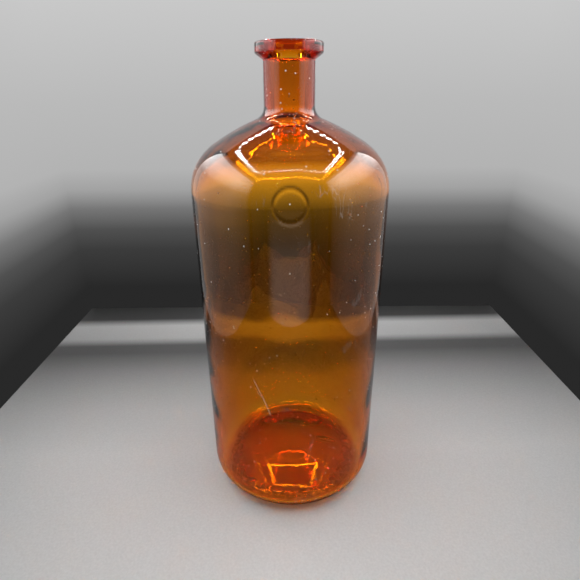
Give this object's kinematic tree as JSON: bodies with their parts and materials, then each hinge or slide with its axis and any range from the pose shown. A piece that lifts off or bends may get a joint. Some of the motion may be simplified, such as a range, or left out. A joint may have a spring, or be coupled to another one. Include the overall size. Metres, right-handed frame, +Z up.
{
  "type": "laboratory bottle",
  "caption": "Round narrow-neck laboratory bottle in amber glass, with a sloping shoulder, straight neck, flanged lip and thick pushed-up base; open and empty.",
  "frame": {"origin": "centre of the ring that the bottle stands on, at the plane of the surface under it", "axes": "+Z up along the bottle's axis, towards the mouth; the bottle is round, so X and Y are free"},
  "size_m": [0.114, 0.114, 0.2767],
  "materials": {
    "amber_glass": "glossy"
  },
  "bodies": {
    "root": {"bottle": "amber_glass"}
  },
  "joints": []
}
